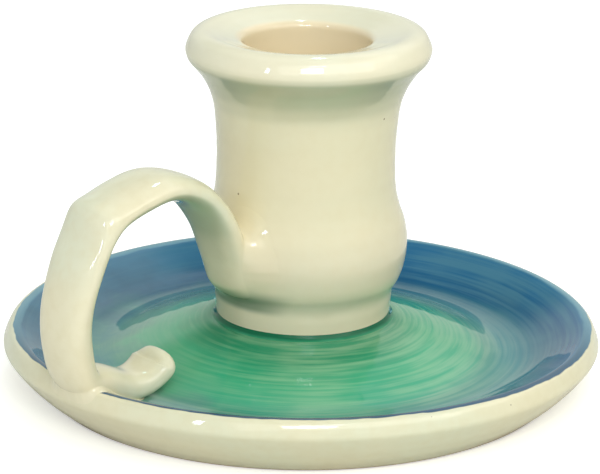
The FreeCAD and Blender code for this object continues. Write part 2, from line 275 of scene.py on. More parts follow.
from_axis = out_from_axis(tree, side, back)
in_bore = add(tree, "ShaderNodeMapRange", (from_axis, 12.2 * MM, 13.6 * MM, 1.0, 0.0), **softly)
# Painted light: the bore is made paler against its shade
painted_bore_light = add(tree, "MULTIPLY", (in_bore, 0.8))
socket_tone = add(tree, "ShaderNodeMix", {
    "Factor": painted_bore_light, 6: socket_tone, 7: linear("#EFDEBA"),
}, **in_colour)
off_socket = add(tree, "ShaderNodeMapRange", (from_axis, 19.8 * MM, 24.0 * MM), **softly)
# The lip reaches as far out as the strap's root does, but it is higher
below_lip = add(tree, "LESS_THAN", (up, 50.0 * MM))
colour = add(tree, "ShaderNodeMix", {
    "Factor": add(tree, "MULTIPLY", (off_socket, below_lip)),
    6: painted_underside_shade(tree, place, socket_tone), 7: painted_underside_shade(tree, place, cream(tree, place)),
}, **in_colour)
gloss(tree, place, specked(tree, place, painted_groove_shade(tree, place, colour)))
print(cream_glaze.name, "has", len(tree.nodes), "nodes")

# %% [markdown]
# ## Brush strokes on the saucer
# The saucer turned on the wheel while a loaded brush was held to it: green round the middle and
# blue on the wall. So every stroke is an arc round the axis. Noise that is stretched along the
# circle makes such arcs at any size, once for the broad strokes and once for single bristles.

# %% Strokes round the axis
painted_glaze, tree, place = glaze_material("brushed_blue_and_green_under_clear_glaze")
side, back, up = add(tree, "ShaderNodeSeparateXYZ", (place,), slice(0, 3))
from_axis = out_from_axis(tree, side, back)
# The circle is drawn in to a small radius, so that the noise hardly changes on the way round it
stroke_width, bristle_width, drawn_in = 4.5 * MM, 0.9 * MM, 1.3 * MM
along_stroke = add(tree, "ShaderNodeCombineXYZ", (
    add(tree, "MULTIPLY", (add(tree, "DIVIDE", (side, from_axis)), drawn_in)),
    add(tree, "MULTIPLY", (add(tree, "DIVIDE", (back, from_axis)), drawn_in)),
    from_axis,
))
bristles, strokes = (
    add(tree, "ShaderNodeTexNoise", {"Vector": along_stroke, "Scale": 1 / width, "Detail": detail})
    for width, detail in ((bristle_width, 4.0), (stroke_width, 2.0))
)
print(f"strokes {stroke_width / MM:.1f} mm wide, bristles {bristle_width / MM:.1f} mm")

# %% [markdown]
# ## How far the paint was carried
# The green's middle lies a few millimetres off the axis. From there a distance is measured, and
# the strokes carry it further or less far. On the right side fine bristle lines show, and on the
# left the wet colours ran together into soft blots, so one fades into the other from side to side.

# %% Reach of the paint
green_side = add(tree, "ADD", (side, 3.9 * MM))
green_back = add(tree, "ADD", (back, 4.3 * MM))
from_green = out_from_axis(tree, green_side, green_back)
stroked = add(tree, "MULTIPLY_ADD", (strokes, 7.0 * MM, add(tree, "SUBTRACT", (from_green, 3.5 * MM))))
to_left = add(tree, "MULTIPLY_ADD", (side, -right.x, add(tree, "MULTIPLY", (back, -right.y))))
run = add(tree, "ShaderNodeMapRange", (to_left, 0.0, 30.0 * MM), **softly)
wet = add(tree, "ShaderNodeTexNoise", {"Vector": place, "Scale": 1 / (9.0 * MM), "Detail": 3.0})
blots = add(tree, "MULTIPLY", (add(tree, "SUBTRACT", (wet, 0.5)), add(tree, "MULTIPLY", (run, 16.0 * MM))))
bristle_reach = add(tree, "MULTIPLY_ADD", (run, -3.6 * MM, 4.2 * MM))
bristled = add(tree, "SUBTRACT", (bristles, 0.5))
reach = add(tree, "MULTIPLY_ADD", (bristled, bristle_reach, add(tree, "ADD", (stroked, blots))))
print("paint reach needs", len(tree.nodes), "nodes so far")

# %% [markdown]
# ## Green into blue
# The paint is a wash of metal oxides under the clear glaze, not a coat on top of it. Where it is
# thick it is deep and even, and between the bristles it is thin and lets the cream through. To
# the eye that is colour behind glass: streaked, but as glossy as the rest. A ramp over the reach
# gives the thick paint, and a paler tone is mixed in where the bristles parted.

# %% The two paints
paint = add(tree, "ShaderNodeValToRGB", (add(tree, "DIVIDE", (reach, 60.0 * MM)),))
lay_tones(paint.node.color_ramp, (
    (0.28, "#1E8A60"), (0.40, "#2AA578"), (0.51, "#3AA480"), (0.58, "#448E80"), (0.67, "#2F8086"),
    (0.76, "#2A687E"), (0.82, "#1B5880"), (0.92, "#2C6C94"),
))
patches = add(tree, "ShaderNodeTexNoise", {"Vector": place, "Scale": 1 / (16.0 * MM)})
parted = add(tree, "MULTIPLY_ADD", (patches, 0.7, bristles))
thin = add(tree, "ShaderNodeMapRange", (parted, 0.68, 1.1), **softly)
thin = add(tree, "MULTIPLY", (thin, add(tree, "MULTIPLY_ADD", (run, -0.75, 1.0))))
far_left = add(tree, "ShaderNodeMapRange", (to_left, 8.0 * MM, 34.0 * MM), **softly)
thin = add(tree, "MULTIPLY_ADD", (far_left, 0.8, thin))
blueness = add(tree, "ShaderNodeMapRange", (reach, 32.0 * MM, 48.0 * MM), **softly)
thin_tone = add(tree, "ShaderNodeMix", {
    "Factor": blueness, 6: linear("#BAD6AC"), 7: linear("#6C9A98"),
}, **in_colour)
coat = add(tree, "ShaderNodeMix", {
    "Factor": add(tree, "MULTIPLY", (thin, 0.3)), 6: paint, 7: thin_tone,
}, **in_colour)
print("tones of paint:", len(paint.node.color_ramp.elements))

# %% [markdown]
# ## The paint's edge on the rim
# The brush was lifted just over the rim's crest. There the wet paint drew up to a dark line, as a
# coffee ring does. Towards the back the line and the crest are painted paler: a painted highlight.

# %% Line and crest
paint_end, line_start = 55.1 * MM, 53.5 * MM
edge_wave = add(tree, "ShaderNodeTexNoise", {"Vector": place, "Scale": 1 / (7.0 * MM)})
edge = add(tree, "MULTIPLY_ADD", (edge_wave, 0.9 * MM, add(tree, "SUBTRACT", (from_axis, 0.45 * MM))))
inside_edge = add(tree, "ShaderNodeMapRange", (edge, paint_end, paint_end + 0.25 * MM, 1.0, 0.0), **softly)
drawn_up = add(tree, "ShaderNodeMapRange", (edge, line_start, line_start + 0.5 * MM), **softly)
to_back = add(tree, "MULTIPLY_ADD", (side, -right.y, add(tree, "MULTIPLY", (back, right.x))))
# Painted highlight: the line is paler towards the back
line_highlight_share = add(tree, "ShaderNodeMapRange", (to_back, -30.0 * MM, 10.0 * MM), **softly)
line_tone = add(tree, "ShaderNodeMix", {
    "Factor": line_highlight_share, 6: linear("#2C5068"), 7: linear("#6A9CAE"),
}, **in_colour)
coat = add(tree, "ShaderNodeMix", {
    "Factor": add(tree, "MULTIPLY", (drawn_up, 0.8)), 6: coat, 7: line_tone,
}, **in_colour)
on_crest = add(tree, "ShaderNodeMapRange", (from_axis, 53.8 * MM, 54.6 * MM), **softly)
far_side = add(tree, "ShaderNodeMapRange", (to_back, -15.0 * MM, 20.0 * MM), **softly)
# Painted highlight on the far crest
painted_far_crest_highlight = add(tree, "MULTIPLY", (add(tree, "MULTIPLY", (on_crest, far_side)), 0.5))
coat = add(tree, "ShaderNodeMix", {"Factor": painted_far_crest_highlight, 6: coat, 7: linear("#86AEB4")}, **in_colour)
print(f"dark line from {line_start / MM:.1f} to {paint_end / MM:.1f} mm off the axis")

# %% [markdown]
# ## Paint, cream and bare clay
# Only the top side of the saucer was painted. Its outside is the cream of the rest of the pot,
# and the foot ring, which stood in the kiln, was wiped clean of glaze. So there the clay is buff
# and matt: the roughness is raised with the same mask as the colour.

# %% Painted saucer glaze
above_foot = add(tree, "GREATER_THAN", (up, 4.0 * MM))
faces_up = add(tree, "ShaderNodeSeparateXYZ", (add(tree, "ShaderNodeTexCoord", out="Normal"),), 2)
top_side = add(tree, "GREATER_THAN", (faces_up, 0.05))
painted = add(tree, "MULTIPLY", (add(tree, "MULTIPLY", (inside_edge, above_foot)), top_side))
outside = add(tree, "ShaderNodeMix", {
    "Factor": 0.2, 6: specked(tree, place, cream(tree, place)), 7: linear("#CCCDA8"),
}, **in_colour)
colour = add(tree, "ShaderNodeMix", {"Factor": painted, 6: outside, 7: coat}, **in_colour)
bare = add(tree, "LESS_THAN", (up, 0.35 * MM))
colour = add(tree, "ShaderNodeMix", {"Factor": bare, 6: colour, 7: linear("#C8AE86")}, **in_colour)
bare_roughness = add(tree, "MULTIPLY_ADD", (bare, 0.75, gloss_roughness))
gloss(tree, place, colour, roughness=bare_roughness)
print(painted_glaze.name, "has", len(tree.nodes), "nodes")

# %% [markdown]
# ## Pooled green glaze
# Round the socket's foot the green ran into the corner and set thick. To the eye it is a deep,
# dark bead with little shine of its own, because the corner shades it. So it is darker towards
# its top, and its gloss is held back with a lower index and a softer roughness.

# %% Pooled glaze
pooled_glaze, tree, place = glaze_material("pooled_green_glaze")
up = add(tree, "ShaderNodeSeparateXYZ", (place,), 2)
pools = add(tree, "ShaderNodeTexNoise", {"Vector": place, "Scale": 1 / (6.0 * MM)})
patchy = add(tree, "ShaderNodeMapRange", (pools, 0.3, 0.7), **softly)
low_tone = add(tree, "ShaderNodeMix", {
    "Factor": patchy, 6: linear("#35946A"), 7: linear("#52A880"),
}, **in_colour)
bead_top = add(tree, "ShaderNodeMapRange", (up, 13.0 * MM, 13.9 * MM), **softly)
colour = add(tree, "ShaderNodeMix", {"Factor": bead_top, 6: low_tone, 7: linear("#1C6848")}, **in_colour)
gloss(tree, place, colour, roughness=0.1, index=1.25)
print(pooled_glaze.name, "has", len(tree.nodes), "nodes")

# %% [markdown]
# ## Outlines of the thrown forms
# A thrown form is the same all round, so it is known by the outline of one side. The outlines
# here repeat the solids' lines and arcs. An arc could be a spline with handles, but three points
# on it are easier to measure on a pot.

# %% Lines and arcs
def arc(start, middle, end, steps=24):
    """Points of the arc through three points, after its start."""
    (x1, y1), (x2, y2), (x3, y3) = start, middle, end
    twice = 2 * (x1 * (y2 - y3) + x2 * (y3 - y1) + x3 * (y1 - y2))
    s1, s2, s3 = x1 * x1 + y1 * y1, x2 * x2 + y2 * y2, x3 * x3 + y3 * y3
    cx = (s1 * (y2 - y3) + s2 * (y3 - y1) + s3 * (y1 - y2)) / twice
    cy = (s1 * (x3 - x2) + s2 * (x1 - x3) + s3 * (x2 - x1)) / twice
    a1, a2, a3 = (math.atan2(y - cy, x - cx) for x, y in (start, middle, end))
    turn = (a3 - a1) % math.tau
    if (a2 - a1) % math.tau > turn:
        turn -= math.tau
    radius = math.hypot(x1 - cx, y1 - cy)
    angles = (a1 + turn * step / steps for step in range(1, steps + 1))
    return [(cx + radius * math.cos(a), cy + radius * math.sin(a)) for a in angles]


def outline(*steps):
    """Starts at the first point. A step is one point for a line, or an arc's middle and end."""
    points = [steps[0]]
    for step in steps[1:]:
        points += arc(points[-1], *step) if isinstance(step[0], tuple) else [step]
    return points


def partway(start, end, out_share, up_share):
    return (start[0] + (end[0] - start[0]) * out_share, start[1] + (end[1] - start[1]) * up_share)


def off(centre, radius, angle):
    """The point of a circle at an angle above level."""
    return (centre[0] + radius * math.cos(angle), centre[1] + radius * math.sin(angle))


quarter = math.pi / 2
quarter_arc = arc((1, 0), off((0, 0), 1, quarter / 2), (0, 1))
print("a quarter circle ends at", [round(number, 3) for number in quarter_arc[-1]])

# %% [markdown]
# ## Sizes of saucer and socket
# The large sizes come from the solids. The smaller ones are the solids' own, in millimetres:
# radii from the candle's axis and heights from the table. A pair is a place on the outline, out
# and up.

# %% Sizes
saucer_radius, mound_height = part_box("saucer")[1].x / MM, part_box("saucer")[1].z / MM
lip_radius, crest_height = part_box("candle_socket")[1].x / MM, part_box("candle_socket")[1].z / MM
rim_roll, rim_height = 2.4, 12.0
foot_radius, foot_ring_width, foot_recess, foot_bevel = 49.4, 6.0, 1.6, 0.8
wall_swell = 1.0
well, well_sweep = (41.6, 5.3), 6.6
floor_thickness = 5.2
socket_foot = (16.4, mound_height)
ring = (16.9, mound_height + 4.7)
groove = (17.2, mound_height + 6.2)
belly_start = (18.1, mound_height + 7.7)
belly = (19.5, mound_height + 14.4)
neck = (16.85, mound_height + 32.2)
throat = (17.25, mound_height + 39.0)
lip_roll, funnel_drop, mouth_round = 3.5, 1.8, 1.0
bore_radius, bore_floor, bore_corner = 12.0, mound_height + 6.0, 2.0
seam_leg = 1.3
mound_edge = (socket_foot[0] + seam_leg, mound_height)
print(f"saucer radius {saucer_radius:.1f}, lip radius {lip_radius:.1f}, crest {crest_height:.1f} mm")

# %% [markdown]
# ## The saucer's outline
# It runs from the axis over the raised middle, down into the well, up the wall, over the rim and
# back under the foot, so that the clay is always on the right hand of the line. Floor and wall
# are both tangent to the well's sweep. Outside, the rim's roll was pressed to a shoulder that
# falls almost straight to the rim's widest line, and that near-flat band is what catches the
# light.

# %% Saucer outline
rim_centre = (saucer_radius - rim_roll, rim_height - rim_roll)
wall_out, wall_up = rim_centre[0] - well[0], rim_centre[1] - well[1]
wall_slope = math.atan2(wall_up, wall_out) + math.asin(rim_roll / math.hypot(wall_out, wall_up))
wall_top = off(rim_centre, rim_roll, quarter + wall_slope)
mound_slope = math.atan2(mound_edge[1] - well[1], well[0] - mound_edge[0])
half_bend = (wall_slope + mound_slope) / 2
well_out = off(well, well_sweep, wall_slope)
well_in = off(well, well_sweep, math.pi - mound_slope)
well_low = off(well, well_sweep * math.tan(half_bend / 2), quarter + (wall_slope - mound_slope) / 2)
foot_inside = foot_radius - foot_ring_width
shoulder_round, shoulder_drop, shoulder_bend = 1.0, 3.15, math.radians(27)
shoulder_start = (rim_centre[0] + 0.4, rim_height)
shoulder_centre = (shoulder_start[0], rim_height - shoulder_round)
shoulder_top = off(shoulder_centre, shoulder_round, shoulder_bend)
shoulder_middle = off(shoulder_centre, shoulder_round, math.radians(58))
shoulder_edge = (saucer_radius, rim_height - shoulder_drop)
wall_middle = partway((foot_radius, foot_bevel), (saucer_radius, rim_centre[1]), 0.5, 0.5)
saucer_outline = outline(
    (0.0, mound_height),
    mound_edge,
    well_in,
    (well_low, well_out),
    wall_top,
    (off(rim_centre, rim_roll, quarter + wall_slope / 2), (rim_centre[0], rim_height)),
    shoulder_start,
    (shoulder_middle, shoulder_top),
    (partway(shoulder_top, shoulder_edge, 0.55, 0.49), shoulder_edge),
    ((wall_middle[0] + wall_swell, wall_middle[1]), (foot_radius, foot_bevel)),
    (foot_radius - foot_bevel, 0.0),
    (foot_inside, 0.0),
    (foot_inside, foot_recess),
    (mound_edge[0], mound_height - floor_thickness),
    (0.0, mound_height - floor_thickness),
)
slopes = [round(math.degrees(slope), 1) for slope in (wall_slope, mound_slope)]
print("slopes of wall and mound in degrees:", slopes)

# %% [markdown]
# ## The socket's outline
# It starts on the bore's floor, runs up the bore, over the mouth and the funnel to the lip, and
# down the outside over throat, neck, belly and groove to the foot. Like the rim, the lip falls
# almost straight from a bend in its roll to its widest line.

# %% Socket outline
lip_centre = (lip_radius - lip_roll, crest_height - lip_roll)
lip_low = off(lip_centre, lip_roll, math.radians(-33))
lip_bend = off(lip_centre, lip_roll, math.radians(50))
lip_edge = (lip_radius, lip_centre[1] - 0.1)
funnel_slope = math.atan2(funnel_drop, lip_centre[0] - bore_radius)
mouth_centre = (bore_radius + mouth_round, crest_height - funnel_drop - 0.8 * mouth_round)
in_floor = (bore_radius - bore_corner, bore_floor + bore_corner)
socket_outline = outline(
    (0.0, bore_floor),
    (in_floor[0], bore_floor),
    (off(in_floor, bore_corner, -quarter / 2), (bore_radius, in_floor[1])),
    (bore_radius, mouth_centre[1]),
    (off(mouth_centre, mouth_round, quarter * 1.5), off(mouth_centre, mouth_round, quarter + funnel_slope)),
    off(lip_centre, lip_roll, quarter + funnel_slope),
    (off(lip_centre, lip_roll, math.radians(75)), lip_bend),
    (partway(lip_bend, lip_edge, 0.55, 0.47), lip_edge),
    lip_low,
    (partway(throat, lip_low, 0.27, 0.53), throat),
    (neck, partway(belly, neck, 0.965, 0.76)),
    (partway(belly, neck, 0.83, 0.55), partway(belly, neck, 0.5, 0.37)),
    (belly, belly_start),
    (groove, ring),
    socket_foot,
    (0.0, mound_height),
)
print(f"the funnel falls at {math.degrees(funnel_slope):.1f} degrees to a bore {2 * bore_radius:.0f} mm wide")

# %% [markdown]
# ## The seam's outline
# The slip in the corner round the foot is a small closed wedge with a hollow face. Its two back
# sides are buried a little in the clay, so that no gap can show.

# %% Seam outline
seam_bury, seam_reach, seam_sink = 0.35, 0.9, 0.42
seam_low = (mound_edge[0] + seam_reach, mound_height - seam_sink)
seam_high = (socket_foot[0] + 0.1, mound_height + seam_leg)
seam_back = (socket_foot[0] - seam_bury, mound_height - 2 * seam_bury)
seam_outline = outline(
    seam_back,
    (seam_back[0], seam_high[1]),
    seam_high,
    (partway(socket_foot, (mound_edge[0], seam_high[1]), 0.36, 0.30), seam_low),
    (seam_low[0] - seam_bury, seam_back[1]),
    seam_back,
)
print("outline points:", len(saucer_outline), len(socket_outline), len(seam_outline))

# %% [markdown]
# ## Soft corners
# The clay was wet, and the glaze ran a little as it melted, so no corner of the pot stays sharp.
# A bevel would need a width for each corner. Instead the points are spaced evenly along the line
# and each is moved towards its neighbours, several times over, which rounds every corner alike.

# %% Even and ease a line
def even(points, spacing):
    """The same line with its points evenly spaced. Only the first two numbers are a place."""
    travelled = [0.0]
    for a, b in zip(points, points[1:]):
        travelled.append(travelled[-1] + math.dist(a[:2], b[:2]))
    count = max(2, round(travelled[-1] / spacing))
    spread = []
    at = 0
    for step in range(count + 1):
        goal = travelled[-1] * step / count
        while at < len(points) - 2 and travelled[at + 1] < goal:
            at += 1
        share = (goal - travelled[at]) / max(travelled[at + 1] - travelled[at], 1e-12)
        spread.append(tuple(a + (b - a) * share for a, b in zip(points[at], points[at + 1])))
    return spread


def eased(points, passes):
    """Moves each point half way to the middle of its neighbours, pass after pass."""
    for _ in range(passes):
        inner = [
            tuple((a + 2 * b + c) / 4 for a, b, c in zip(*three))
            for three in zip(points, points[1:], points[2:])
        ]
        points = [points[0], *inner, points[-1]]
    return points


outline_spacing = 0.25
even_points = [len(even(line, outline_spacing)) for line in (saucer_outline, socket_outline)]
print("evenly spaced points of saucer and socket:", even_points)

# %% [markdown]
# ## Trees that make shapes
# A thrown form, a pulled strap and a pressed-in fillet each follow a rule, so each is a geometry
# tree with named inputs. Every tree ends alike: its faces are smooth but for truly sharp edges,
# its instances are made real, and its glaze is set.

# %% Start and end a shape tree
def new_tree(name, sockets):
    """Gives back a tree with these inputs, and the outputs of its input node."""
    tree = bpy.data.node_groups.new(name, "GeometryNodeTree")
    for socket_name, kind in sockets.items():
        tree.interface.new_socket(socket_name, in_out="INPUT", socket_type="NodeSocket" + kind)
    tree.interface.new_socket("Shape", in_out="OUTPUT", socket_type="NodeSocketGeometry")
    return tree, tree.nodes.new("NodeGroupInput").outputs


def close_tree(tree, shape, glaze):
    sharp = add(tree, "GREATER_THAN", (add(tree, "GeometryNodeInputMeshEdgeAngle"), 1.0))
    smooth = add(tree, "GeometryNodeSetShadeSmooth", {"Geometry": shape})
    smooth = add(tree, "GeometryNodeSetShadeSmooth", {
        "Geometry": smooth, "Selection": sharp, "Shade Smooth": False,
    }, domain="EDGE")
    real = add(tree, "GeometryNodeRealizeInstances", (smooth,))
    coated = add(tree, "GeometryNodeSetMaterial", {"Geometry": real, "Material": glaze})
    tree.links.new(coated, tree.nodes.new("NodeGroupOutput").inputs[0])
    print(f"tree {tree.name}: {len(tree.nodes)} nodes")


# %% [markdown]
# ## Run a tree once
# A tree could stay live on its object, but a plain mesh exports more surely. So the modifier gets
# its inputs by their identifiers, the result is copied to a mesh, and the modifier goes. Then
# double points are merged, which closes seams and poles, and the faces are turned outwards.

# %% Make a piece
merge_distance, sliver = 0.03 * MM, 0.001 * MM


def made(name, tree, values, mesh=None):
    piece = bpy.data.objects.new(name, mesh or bpy.data.meshes.new(name))
    bpy.context.scene.collection.objects.link(piece)
    modifier = piece.modifiers.new("making", "NODES")
    modifier.node_group = tree
    for socket_name, value in values.items():
        modifier[tree.interface.items_tree[socket_name].identifier] = value
    bpy.context.view_layer.update()
    graph = bpy.context.evaluated_depsgraph_get()
    piece.data = bpy.data.meshes.new_from_object(piece.evaluated_get(graph), depsgraph=graph)
    piece.modifiers.remove(modifier)
    work = bmesh.new()
    work.from_mesh(piece.data)
    bmesh.ops.remove_doubles(work, verts=work.verts, dist=merge_distance)
    bmesh.ops.dissolve_degenerate(work, edges=work.edges, dist=sliver)
    bmesh.ops.recalc_face_normals(work, faces=work.faces)
    open_edges = sum(not edge.is_manifold for edge in work.edges)
    work.to_mesh(piece.data)
    work.free()
    print(f"{name}: {len(piece.data.polygons)} faces, {open_edges} open edges")
    return piece


# %% [markdown]
# ## A wheel made of nodes
# On the wheel the clay turns and the hand draws one outline, while the fingers leave a shallow
# spiral. The tree does the same. It takes a flat grid, whose one side goes round the axis and
# whose other side follows the outline, and it works out the spiral and a slow wander, as soft
# clay has. A Screw modifier would give the form alone, without the marks of the hand.

# %% Round the axis and along the outline
wheel, given = new_tree("wheel", {
    "Outline": "Object", "Around": "Int", "Along": "Int",
    "Spiral Pitch": "Float", "Spiral Depth": "Float", "Wander": "Float",
    "Lean": "Vector", "Lean From": "Float", "Place": "Vector",
    "Warp": "Float", "Warp Turn": "Float", "Warp Radius": "Float", "Warp Height": "Float",
    "Mouth Shift": "Vector", "Mouth Radius": "Float", "Shift Height": "Float",
    "Seed": "Float", "Glaze": "Material",
})
grid = add(wheel, "GeometryNodeMeshGrid", {
    "Size X": 1.0, "Size Y": 1.0,
    "Vertices X": add(wheel, "ADD", (given["Around"], 1)), "Vertices Y": given["Along"],
})
grid_place = add(wheel, "GeometryNodeInputPosition")
grid_x, grid_y = add(wheel, "ShaderNodeSeparateXYZ", (grid_place,), slice(0, 2))
angle = add(wheel, "MULTIPLY", (add(wheel, "ADD", (grid_x, 0.5)), math.tau))
cosine, sine = add(wheel, "COSINE", (angle,)), add(wheel, "SINE", (angle,))
along = add(wheel, "ADD", (grid_y, 0.5))
outline_curve = add(wheel, "GeometryNodeObjectInfo", (given["Outline"],), "Geometry")
place, heading = add(wheel, "GeometryNodeSampleCurve", {
    "Curves": outline_curve, "Factor": along,
}, slice(1, 3))
radius, _, height = add(wheel, "ShaderNodeSeparateXYZ", (place,), slice(0, 3))
run, _, rise = add(wheel, "ShaderNodeSeparateXYZ", (heading,), slice(0, 3))
travelled = add(wheel, "MULTIPLY", (along, add(wheel, "GeometryNodeCurveLength", (outline_curve,))))
print("wheel inputs:", len(given) - 1)

# %% [markdown]
# ## The marks of the hand
# The spiral is a sine of the way along the outline and round the axis together. Noise makes it
# come and go, as a finger's pressure does, and slower noise lets the wall wander in and out.
# The noise is read on a circle, so that it meets itself after one turn.

# %% Spiral and wander
phase = add(wheel, "DIVIDE", (add(wheel, "MULTIPLY", (travelled, math.tau)), given["Spiral Pitch"]))
spiral = add(wheel, "SINE", (add(wheel, "ADD", (phase, angle)),))
clay_place = add(wheel, "ShaderNodeCombineXYZ", (
    cosine, sine, add(wheel, "MULTIPLY", (travelled, 1 / (50 * MM))),
))
wander, finger = (
    add(wheel, "ShaderNodeTexNoise", {
        "Vector": clay_place, "W": given["Seed"], "Scale": scale, "Detail": 1.0,
    }, noise_dimensions="4D")
    for scale in (0.8, 2.5)
)
lift = add(wheel, "MULTIPLY", (add(wheel, "MULTIPLY", (spiral, finger)), given["Spiral Depth"]))
drift = add(wheel, "MULTIPLY", (add(wheel, "SUBTRACT", (wander, 0.5)), given["Wander"]))
stray = add(wheel, "SUBTRACT", (drift, add(wheel, "MULTIPLY", (lift, rise))))
# Near the axis nothing strays, so the poles stay closed
near_axis = add(wheel, "MINIMUM", (add(wheel, "MULTIPLY", (radius, 1 / (5 * MM))), 1.0))
new_radius = add(wheel, "MULTIPLY_ADD", (stray, near_axis, radius))
lifted = add(wheel, "MULTIPLY_ADD", (lift, run, height))
print("nodes for the hand's marks:", len(wheel.nodes))

# %% [markdown]
# ## What the kiln did
# In the fire the saucer's rim dropped a little at two opposite sides and rose between them, so
# two waves go round it, and they grow quickly towards the rim. The foot stays flat on the table.

# %% Warp
off_wave = add(wheel, "SUBTRACT", (angle, given["Warp Turn"]))
two_lobes = add(wheel, "COSINE", (add(wheel, "MULTIPLY", (off_wave, 2.0)),))
out_share = add(wheel, "POWER", (add(wheel, "DIVIDE", (radius, given["Warp Radius"])), 3.0))
up_share = add(wheel, "MINIMUM", (add(wheel, "DIVIDE", (height, given["Warp Height"])), 1.0))
lobe_height = add(wheel, "MULTIPLY", (two_lobes, given["Warp"]))
warped = add(wheel, "MULTIPLY", (lobe_height, add(wheel, "MULTIPLY", (out_share, up_share))))
new_height = add(wheel, "ADD", (lifted, warped))
thrown_place = add(wheel, "ShaderNodeCombineXYZ", (
    add(wheel, "MULTIPLY", (new_radius, cosine)), add(wheel, "MULTIPLY", (new_radius, sine)), new_height,
))
print("nodes with the warp:", len(wheel.nodes))

# %% [markdown]
# ## Set down by hand
# The socket was lifted onto the saucer wet. It leans by less than a degree, its mouth lies a
# little off its middle, and the saucer is a hair off its own axis. Each of these is a small push
# in one direction. The lean and the mouth's shift grow with height, and the saucer's doesn't.

# %% Lean, shift and place
risen = add(wheel, "SUBTRACT", (new_height, given["Lean From"]))
leaned = add(wheel, "ShaderNodeVectorMath", {0: given["Lean"], 3: risen}, operation="SCALE")
from_bore = add(wheel, "DIVIDE", (radius, given["Mouth Radius"]))
in_mouth = add(wheel, "SUBTRACT", (1.6, from_bore), use_clamp=True)
in_mouth = add(wheel, "MULTIPLY", (in_mouth, add(wheel, "DIVIDE", (new_height, given["Shift Height"]))))
shifted = add(wheel, "ShaderNodeVectorMath", {0: given["Mouth Shift"], 3: in_mouth}, operation="SCALE")
settled = add(wheel, "ShaderNodeVectorMath", (leaned, given["Place"]), operation="ADD")
settled = add(wheel, "ShaderNodeVectorMath", (settled, shifted), operation="ADD")
thrown_place = add(wheel, "ShaderNodeVectorMath", (thrown_place, settled), operation="ADD")
bent = add(wheel, "GeometryNodeSetPosition", {"Geometry": grid, "Position": thrown_place})
closed = add(wheel, "GeometryNodeMergeByDistance", {"Geometry": bent, "Distance": sliver})
close_tree(wheel, closed, given["Glaze"])

# %% [markdown]
# ## Throw the three round pieces
# An outline goes to the tree as a curve object, which is taken away again afterwards. Saucer and
# socket get the same fingers, a little lighter on the saucer. The seam gets none, because slip
# that is wiped into a corner shows no spiral.

# %% Throw saucer, socket and seam
around_count, along_share = 224, 0.72


def thrown(name, outline_points, glaze, ease=6, **values):
    """Values are the tree's own inputs, with lengths in metres."""
    points = eased(even(outline_points, outline_spacing), ease)
    curve = bpy.data.curves.new(name + "_outline", "CURVE")
    curve.dimensions = "3D"
    spline = curve.splines.new("POLY")
    spline.points.add(len(points) - 1)
    for point, (out, up) in zip(spline.points, points):
        point.co = (out * MM, 0.0, up * MM, 1.0)
    line = bpy.data.objects.new(name + "_outline", curve)
    bpy.context.scene.collection.objects.link(line)
    piece = made(name, wheel, {
        "Outline": line, "Around": around_count, "Along": round(len(points) * along_share),
        "Spiral Pitch": 3.2 * MM, "Spiral Depth": 0.02 * MM, "Wander": 0.25 * MM,
        "Warp Radius": saucer_radius * MM, "Warp Height": rim_height / 2 * MM,
        "Mouth Radius": bore_radius * MM, "Shift Height": 80 * MM, "Glaze": glaze, **values,
    })
    bpy.data.objects.remove(line)
    return piece


saucer = thrown("thrown_saucer", saucer_outline, painted_glaze, **{
    "Place": right * -0.3 * MM, "Warp": 0.3 * MM, "Warp Turn": right_turn + quarter,
    "Spiral Depth": 0.012 * MM, "Seed": 1.0,
})
socket = thrown("thrown_socket", socket_outline, cream_glaze, **{
    "Lean": right * 0.0133, "Lean From": mound_height * MM, "Mouth Shift": right * -0.7 * MM, "Seed": 4.0,
})
seam = thrown("slip_seam", seam_outline, pooled_glaze, ease=2, **{
    "Spiral Depth": 0.0, "Wander": 0.0, "Seed": 7.0,
})

# %% [markdown]
# ## The pulled strap
# A pulled handle is one tapering strap of clay. Its middle line leaves the belly, arches over
# the finger, bends sharply under the thumb, drops to the rim and curls in the well. The line is
# given by stations, listed as shares of the way between the places that carry them, and
# each station also has the strap's width and thickness there.

# %% The strap's stations
def stretch(start, end, *share_rows):
    """Stations from start to end. A row has shares outward, upward, of width and of thickness."""
    return [(*partway(start, end, out, up), wide, thick) for out, up, wide, thick in share_rows]


strap_width, strap_thickness = 12.8, 5.8
toe = (groove[0] - 0.7, groove[1] + 0.7)
root_low = (belly[0] - 2.6, mound_height + 9.9)
root_high = (belly[0] + 3.2, mound_height + 22.9)
grip, arch_height = (saucer_radius + 0.5, 24.5), 46.0
rim_ride, well_ride = 0.8, 3.1
on_rim = (rim_centre[0], rim_height + rim_ride)
on_wall = (wall_top[0], wall_top[1] + rim_ride)
over_well = (well[0], well[1] + well_ride)
tail_end = (well[0] - 5.2, well[1] + 8.9)
strap_stations = [
    *stretch(groove, toe, (1.0, 1.0, 0.80, 0.62)),
    *stretch(root_low, root_high, (0.0, 0.0, 0.95, 1.20), (0.53, 0.50, 0.96, 1.0), (1.0, 1.0, 0.98, 0.97)),
    *stretch(
        (root_high[0], grip[1]), (grip[0], arch_height),
        (0.164, 0.856, 1.04, 0.92), (0.382, 0.995, 1.10, 0.88), (0.560, 0.955, 1.09, 0.90),
        (0.762, 0.822, 1.07, 0.96), (0.836, 0.688, 1.07, 1.08), (0.926, 0.391, 1.03, 0.93),
        (0.991, 0.0, 0.96, 1.06),
    ),
    *stretch(grip, on_rim, (0.18, 0.44, 0.92, 1.14), (1.0, 1.0, 0.88, 1.10)),
    *stretch(on_wall, over_well, (0.304, 0.304, 0.80, 1.05), (0.823, 0.823, 0.76, 1.0)),
    *stretch(well, tail_end, (0.44, 0.524, 0.80, 0.88), (1.0, 0.83, 0.84, 0.80), (0.86, 1.03, 0.72, 0.66)),
]
print("stations:", len(strap_stations))

